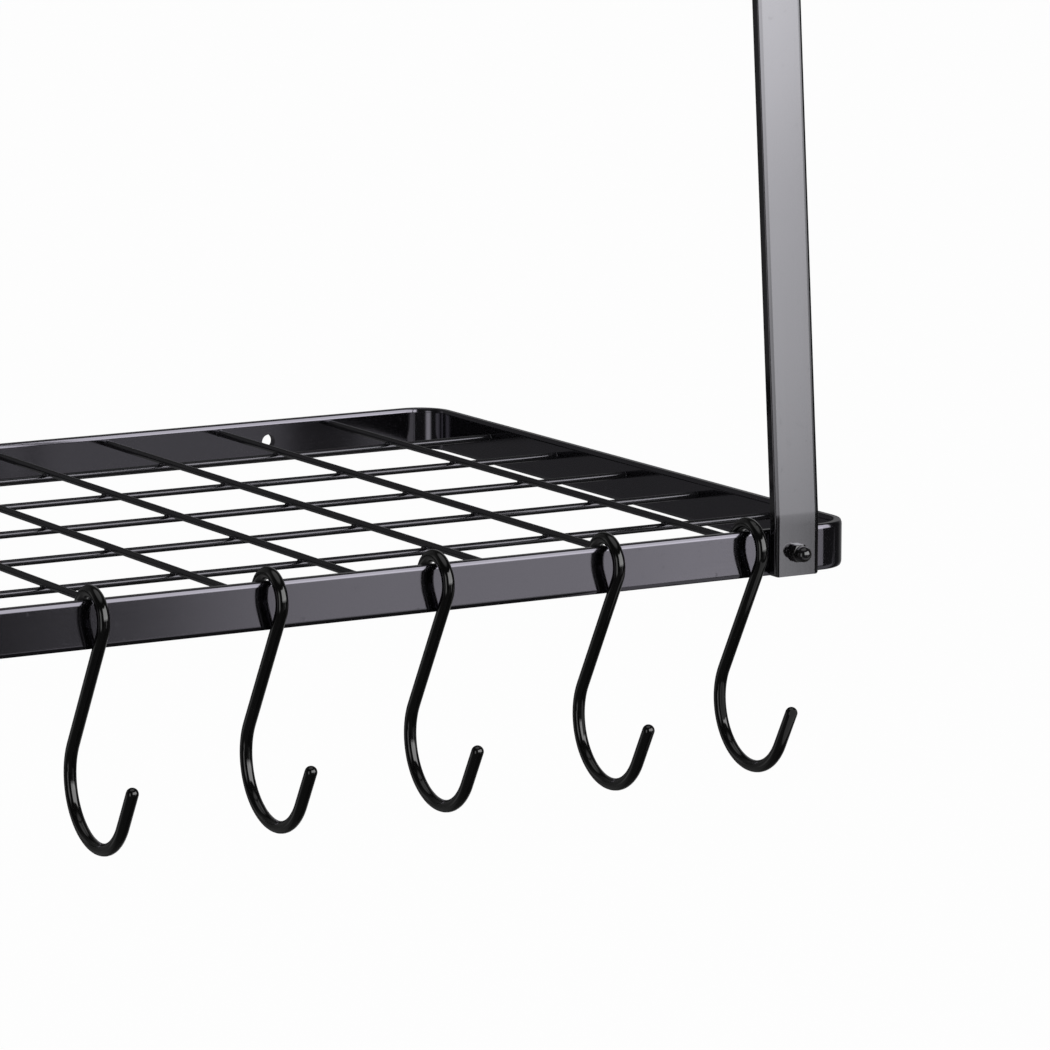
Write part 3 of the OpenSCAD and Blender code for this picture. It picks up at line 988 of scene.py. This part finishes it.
class SetStudio(bpy.types.Operator):
    """Place the floor, the reflection tent, the lamps, the world and the camera"""

    bl_idname = "pot_rack.set_studio"
    bl_label = "Set Studio"

    # Light on the tent: azimuths from straight in front to the right and heights, in degrees,
    # each with the softness of its edges, and the strength
    BOXES = (
        # Front rail: its dim left end, its even middle and its lighter right end
        ((24.4, 33.9), (1.2, 0.3), (-16.0, 12.0), 3.0, 0.13),
        ((26.7, 33.9), (0.6, 0.3), (-16.0, 12.0), 3.0, 0.83),
        ((32.3, 33.9), (0.2, 0.3), (-16.0, 12.0), 3.0, 0.75),
        # Straps, lighter towards the top, and the light line along the rail's top edge
        ((-16.0, 58.0), (4.0, 6.0), (-1.8, 38.0), 2.2, 1.20),
        ((-16.0, 58.0), (4.0, 6.0), (2.7, 38.0), 2.2, 1.75),
        # Light line along the rail's bottom edge
        ((24.4, 33.9), (2.0, 0.5), (-24.0, -17.0), 2.0, 0.5),
        # Highlights on the hooks and in the rim's corners, from the right, the front and the left
        ((112.0, 150.0), (24.0, 24.0), (-40.0, 30.0), 10.0, 0.25),
        ((-5.0, 8.0), (4.0, 4.0), (-30.0, 20.0), 10.0, 0.12),
        ((-76.0, -56.0), (8.0, 8.0), (-25.0, 20.0), 8.0, 1.1),
        # Inside of the right rail
        ((-143.0, -130.0), (6.0, 6.0), (-30.0, 20.0), 10.0, 0.20),
        ((-200.0, -120.0), (10.0, 20.0), (-60.0, 45.0), 12.0, 0.06),
        # Overhead, and the dim ground on both sides
        ((-200.0, 200.0), (10.0, 10.0), (62.0, 100.0), 10.0, 0.5),
        ((100.0, 200.0), (15.0, 15.0), (-100.0, -17.0), 3.0, 0.02),
        ((-200.0, -5.0), (15.0, 15.0), (-100.0, -17.0), 3.0, 0.02),
    )
    TENT_GLOW = 0.03
    # Cards before the rack, which the back rail mirrors: their limits along X and their glow
    CARDS = (
        ((0.36, 0.581), 0.35), ((0.581, 0.625), 0.04), ((0.625, 0.655), 0.32), ((0.655, 0.72), 0.05),
    )
    # Where they hang: their place along Y, and their bottom and top
    CARD_PLACE = (-0.40, (-0.115, -0.03))
    FLOOR_GREY = 0.86
    FLOOR_REACH = 30.0
    # Strength and share of the floor's glow where it is seen, which brings it near white
    FLOOR_GLOW, GLOW_SHARE = 1.03, 0.92
    # Strength of the world's light on matt surfaces, against white where it is seen
    SOFT_LIGHT = 0.52

    def execute(self, context):
        settings = context.scene.pot_rack_studio
        context.scene.view_settings.view_transform = "Standard"
        self.lay_floor(settings)
        self.hang_tent(settings)
        self.set_world(context.scene)
        self.place_lamps()
        self.place_camera(context.scene, settings)
        return {"FINISHED"}

    def background_mask(self, bench):
        """1 for camera, glossy and transmission rays."""
        path = bench.node("ShaderNodeLightPath")
        seen = [
            Plug(bench, path.outputs[name])
            for name in ("Is Camera Ray", "Is Glossy Ray", "Is Transmission Ray")
        ]
        return bench.math("MINIMUM", seen[0] + seen[1] + seen[2], 1.0)

    def lay_floor(self, settings):
        """Pale floor that is seen near white and keeps the object's shadow."""
        finish, bench = new_finish("floor_pale")
        grey = (self.FLOOR_GREY, self.FLOOR_GREY, self.FLOOR_GREY, 1.0)
        matt = bench.plug("ShaderNodeBsdfDiffuse", values={"Color": grey})
        glow = bench.plug("ShaderNodeEmission", values={"Strength": self.FLOOR_GLOW})
        share = self.background_mask(bench) * self.GLOW_SHARE
        surface = bench.plug("ShaderNodeMixShader", values={0: share, 1: matt, 2: glow})
        bench.node("ShaderNodeOutputMaterial", values={"Surface": surface})
        mesh = bpy.data.meshes.new("floor")
        reach, depth = self.FLOOR_REACH, -settings.floor_depth
        corners = [(-reach, -reach), (reach, -reach), (reach, reach), (-reach, reach)]
        mesh.from_pydata([(x, y, depth) for x, y in corners], [], [(0, 1, 2, 3)])
        mesh.materials.append(finish)
        floor = bpy.data.objects.new("floor", mesh)
        floor.visible_glossy = False
        bpy.context.scene.collection.objects.link(floor)

    def hang_tent(self, settings):
        """Dark tent with soft boxes in it, and the cards, which only reflections see."""
        finish, bench = new_finish("tent_cloth")
        place = bench.plug("ShaderNodeTexCoord", "Object")
        parts = bench.node("ShaderNodeSeparateXYZ", values={0: place})
        x, y, z = (Plug(bench, s) for s in parts.outputs)
        azimuth = bench.math("DEGREES", bench.math("ARCTAN2", x, y * -1.0))
        height = bench.math("DEGREES", bench.math("ARCSINE", z / settings.tent_radius))
        light = self.TENT_GLOW
        for azimuths, soft, heights, soft_height, strength in self.BOXES:
            band = self.soft_band(bench, azimuth, azimuths, soft)
            rise = self.soft_band(bench, height, heights, (soft_height, soft_height))
            light = light + band * rise * strength
        glow = bench.plug("ShaderNodeEmission", values={"Strength": light})
        bench.node("ShaderNodeOutputMaterial", values={"Surface": glow})
        shape = bmesh.new()
        bmesh.ops.create_uvsphere(
            shape, u_segments=96, v_segments=48, radius=settings.tent_radius
        )
        self.reflected_only("tent", shape, finish)
        depth, (low, high) = self.CARD_PLACE
        for number, ((left, right), strength) in enumerate(self.CARDS, 1):
            dim, bench = new_finish(f"card_grey_{number}")
            glow = bench.plug("ShaderNodeEmission", values={"Strength": strength})
            bench.node("ShaderNodeOutputMaterial", values={"Surface": glow})
            shape = bmesh.new()
            spots = ((left, low), (right, low), (right, high), (left, high))
            shape.faces.new([shape.verts.new((x, depth, z)) for x, z in spots])
            self.reflected_only(f"card_{number}", shape, dim)

    def reflected_only(self, name, shape, finish):
        """Stage object that only glossy rays see."""
        mesh = bpy.data.meshes.new(name)
        shape.to_mesh(mesh)
        shape.free()
        mesh.materials.append(finish)
        finish.cycles.emission_sampling = "NONE"
        thing = bpy.data.objects.new(name, mesh)
        bpy.context.scene.collection.objects.link(thing)
        for ray in ("camera", "diffuse", "transmission", "volume_scatter", "shadow"):
            setattr(thing, "visible_" + ray, False)

    def soft_band(self, bench, value, limits, soft):
        """1 between two limits, falling smoothly to 0 across each."""
        slopes = (
            (limits[0] - soft[0], limits[0] + soft[0]), (limits[1] + soft[1], limits[1] - soft[1])
        )
        rise, fall = (
            bench.plug(
                "ShaderNodeMapRange",
                settings={"interpolation_type": "SMOOTHERSTEP"},
                values={"Value": value, "From Min": start, "From Max": stop},
            )
            for start, stop in slopes
        )
        return rise * fall

    def set_world(self, scene):
        """White where it is seen, and plain soft light elsewhere."""
        world = bpy.data.worlds.new("studio")
        world.use_nodes = True
        world.node_tree.nodes.clear()
        bench = Bench(world.node_tree)
        mask = self.background_mask(bench)
        strength = mask * (1 - self.SOFT_LIGHT) + self.SOFT_LIGHT
        light = bench.plug(
            "ShaderNodeBackground", values={"Color": (1.0, 1.0, 1.0, 1.0), "Strength": strength}
        )
        bench.node("ShaderNodeOutputWorld", values={"Surface": light})
        scene.world = world

    def place_lamps(self):
        """Two soft lamps for the matt share of the finishes and the floor's shadow."""
        lamps = (
            ("key_lamp", (1.6, -1.8, 1.9), 1.4, 26.0),
            ("fill_lamp", (-1.9, -1.2, 1.4), 1.8, 12.0),
        )
        for name, place, size, power in lamps:
            data = bpy.data.lights.new(name, "AREA")
            data.size, data.energy = size, power
            lamp = bpy.data.objects.new(name, data)
            lamp.location = place
            lamp.rotation_euler = (-Vector(place)).to_track_quat("-Z", "Y").to_euler()
            lamp.visible_camera = lamp.visible_glossy = False
            bpy.context.scene.collection.objects.link(lamp)

    def place_camera(self, scene, settings):
        """Camera at the photograph's viewing angle."""
        data = bpy.data.cameras.new("camera")
        data.sensor_width, data.lens = 36.0, settings.lens
        data.clip_start, data.clip_end = 0.05, 100.0
        camera = bpy.data.objects.new("camera", data)
        camera.location = settings.camera_place
        camera.rotation_euler = (math.pi / 2 - settings.elevation, 0.0, -settings.azimuth)
        scene.collection.objects.link(camera)
        scene.camera = camera


GROUPS = {
    "pot_rack_bar": BarSizes, "pot_rack_strap": StrapSizes, "pot_rack_wire": WireSizes,
    "pot_rack_hook": HookSizes, "pot_rack_fastener": FastenerSizes,
    "pot_rack_studio": StudioSettings,
}
OPERATORS = (BuildRim, BuildStraps, BuildGrid, BuildHooks, BuildFasteners, SetStudio)


class PotRackPanel(bpy.types.Panel):
    """Lists the steps that rebuild the pot rack, and their sizes"""

    bl_idname = "VIEW3D_PT_pot_rack"
    bl_label = "Pot Rack"
    bl_space_type = "VIEW_3D"
    bl_region_type = "UI"
    bl_category = "Pot Rack"

    def draw(self, context):
        for operator in OPERATORS:
            self.layout.operator(operator.bl_idname)
        for group, kind in GROUPS.items():
            box = self.layout.box()
            for name in kind.__annotations__:
                box.prop(getattr(context.scene, group), name)


def register():
    for kind in (*GROUPS.values(), *OPERATORS, PotRackPanel):
        bpy.utils.register_class(kind)
    for name, kind in GROUPS.items():
        setattr(bpy.types.Scene, name, PointerProperty(type=kind))


def unregister():
    for name in GROUPS:
        delattr(bpy.types.Scene, name)
    for kind in reversed((*GROUPS.values(), *OPERATORS, PotRackPanel)):
        bpy.utils.unregister_class(kind)


def main():
    register()
    bpy.ops.pot_rack.build_rim()
    bpy.ops.pot_rack.build_straps()
    bpy.ops.pot_rack.build_grid()
    bpy.ops.pot_rack.build_hooks()
    bpy.ops.pot_rack.build_fasteners()
    bpy.ops.pot_rack.set_studio()


if __name__ == "__main__":
    main()
